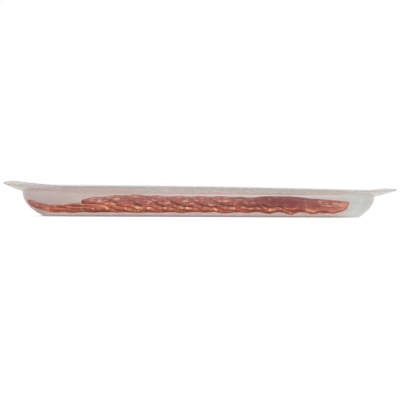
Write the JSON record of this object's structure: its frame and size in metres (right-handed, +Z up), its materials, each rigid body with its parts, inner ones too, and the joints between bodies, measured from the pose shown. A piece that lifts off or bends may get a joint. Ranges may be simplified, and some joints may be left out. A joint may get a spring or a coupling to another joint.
{
  "type": "pack of sliced spicy salami",
  "caption": "Sealed shallow clear tray of overlapping oval slices of spicy salami, under a lidding film drawn down inside a wide upturned flange.",
  "frame": {"origin": "under the middle of the pack's outline, on the surface that its foot lies on", "axes": "+X along the pack towards the empty end of the tray, +Y across it away from the pictured long side, +Z up through the film"},
  "size_m": [0.23, 0.143, 0.0216],
  "materials": {
    "tray_plastic": "clear thermoformed sheet with a faint grey cast",
    "lidding_film": "thin clear glossy film",
    "salami": "moist cured meat with pale grains of fat and an orange oily edge"
  },
  "bodies": {
    "root": {"tray": "tray_plastic", "lid_film": "lidding_film", "slice_01": "salami", "slice_02": "salami", "slice_03": "salami", "slice_04": "salami", "slice_05": "salami", "slice_06": "salami", "slice_07": "salami", "slice_08": "salami", "slice_09": "salami", "slice_10": "salami", "slice_11": "salami", "slice_12": "salami"}
  },
  "joints": []
}
